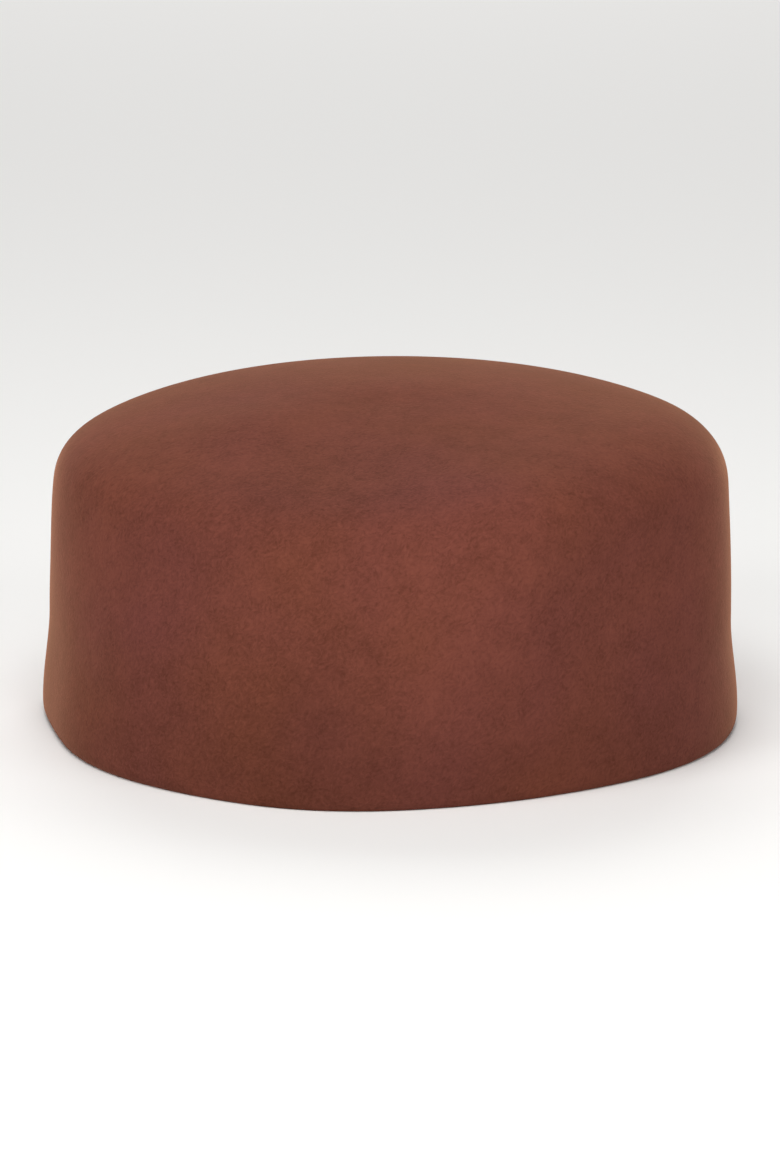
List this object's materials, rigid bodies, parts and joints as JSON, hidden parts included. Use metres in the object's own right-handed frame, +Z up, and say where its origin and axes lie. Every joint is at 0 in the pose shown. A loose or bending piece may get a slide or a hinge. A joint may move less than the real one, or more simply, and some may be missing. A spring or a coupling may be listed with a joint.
{
  "type": "felt pillbox hat",
  "caption": "Felt pillbox hat blocked in one piece: upright oval wall, rounded shoulder, low domed tip, edge turned up inside, open underneath for the head.",
  "frame": {"origin": "under the middle of the hat's box, level with the edge that it stands on", "axes": "+Z up from the edge to the tip, +Y from the front to the back along the oval, +X to the right of a front view"},
  "size_m": [0.1756, 0.2126, 0.0854],
  "materials": {
    "felt": "matte red-brown wool felt with a short soft nap"
  },
  "bodies": {
    "root": {"crown": "felt"}
  },
  "joints": []
}
